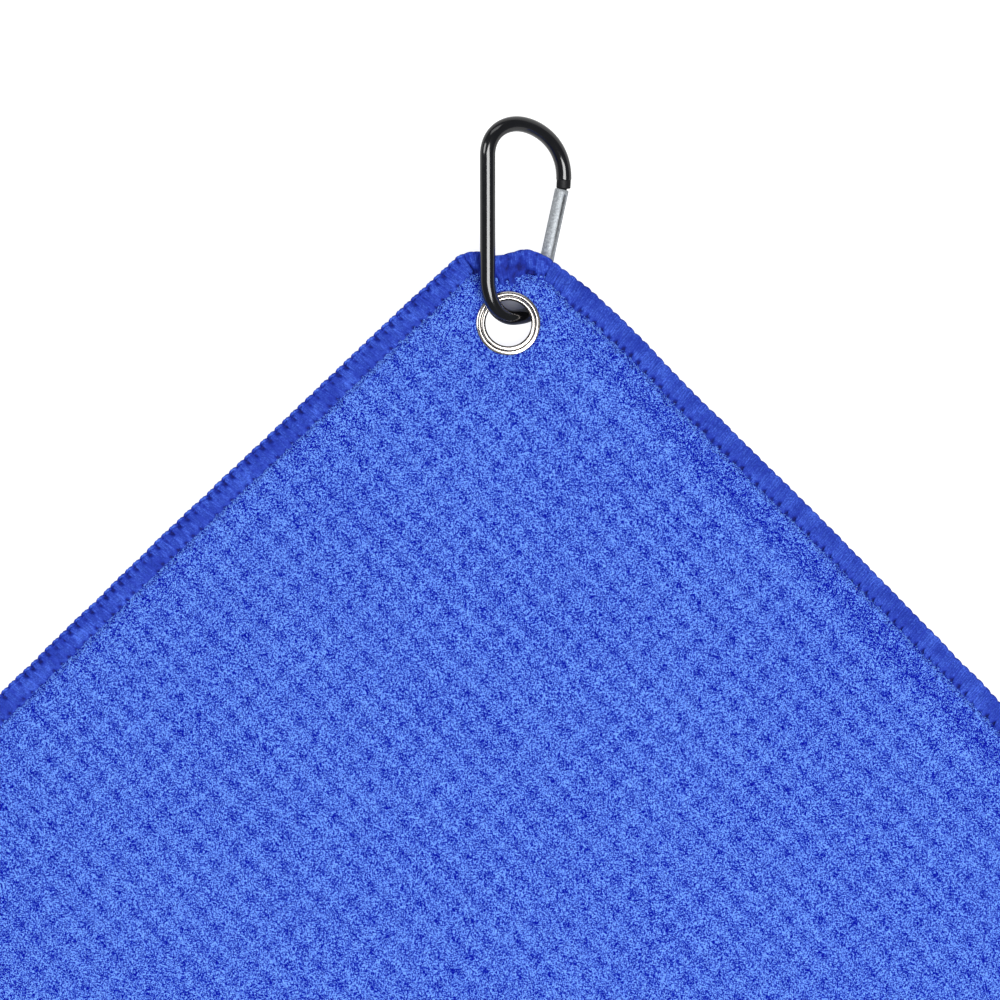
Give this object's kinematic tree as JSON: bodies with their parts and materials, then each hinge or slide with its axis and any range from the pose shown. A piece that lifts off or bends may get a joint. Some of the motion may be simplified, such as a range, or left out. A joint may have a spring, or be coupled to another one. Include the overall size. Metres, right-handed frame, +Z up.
{
  "type": "golf towel",
  "caption": "Waffle microfibre golf towel lying flat with one corner up: overlocked edge, metal eyelet in the cut corner, and a spring-gate snap hook through it.",
  "frame": {"origin": "centre of the bounding box's base, on the surface the towel lies on, near the middle of the cloth", "axes": "+Y along the towel's diagonal towards the eyelet and the hook, +Z up out of the cloth's face, +X to the right seen from above"},
  "size_m": [0.5642, 0.5955, 0.0243],
  "materials": {
    "terry": "royal blue microfibre waffle terry, matt with a soft sheen",
    "hem_thread": "royal blue spun polyester overlock thread",
    "eyelet_metal": "bright nickel plate",
    "hook_black": "gloss black anodised rod",
    "gate_metal": "satin clear-anodised rod",
    "small_steel": "plain steel wire and pins"
  },
  "bodies": {
    "towel": {"towel_cloth": "terry", "overlock_hem_corner": "hem_thread", "overlock_hem_upper_left": "hem_thread", "overlock_hem_upper_right": "hem_thread", "overlock_hem_lower_left": "hem_thread", "overlock_hem_lower_right": "hem_thread", "eyelet_barrel": "eyelet_metal", "eyelet_washer": "eyelet_metal"},
    "carabiner": {"carabiner_body": "hook_black"},
    "gate": {"carabiner_gate": "gate_metal", "gate_pivot_rivet": "small_steel", "gate_latch_pin": "small_steel", "gate_spring": "small_steel"},
    "plunger": {"gate_plunger": "small_steel"}
  },
  "joints": [
    {"name": "carabiner_swing", "type": "hinge", "parent": "towel", "child": "carabiner", "pos_m": [0, 0.23625, 0.008], "axis": [0, 0, 1], "range_deg": [-12, 30]},
    {"name": "gate_swing", "type": "hinge", "parent": "carabiner", "child": "gate", "pos_m": [0.00846, 0.24187, 0.0023], "axis": [0.6174, -0.1288, 0.776], "range_deg": [0, 24], "stiffness_Nm_per_rad": 0.03, "springref_deg": -20.05},
    {"name": "plunger_slide", "type": "slide", "parent": "gate", "child": "plunger", "axis": [0.1993, 0.9799, 0.0041], "range_m": [0, 0.0006]}
  ],
  "couplings": [
    {"joint": "plunger_slide", "follows": "gate_swing", "m_per_rad": 0.00143}
  ]
}
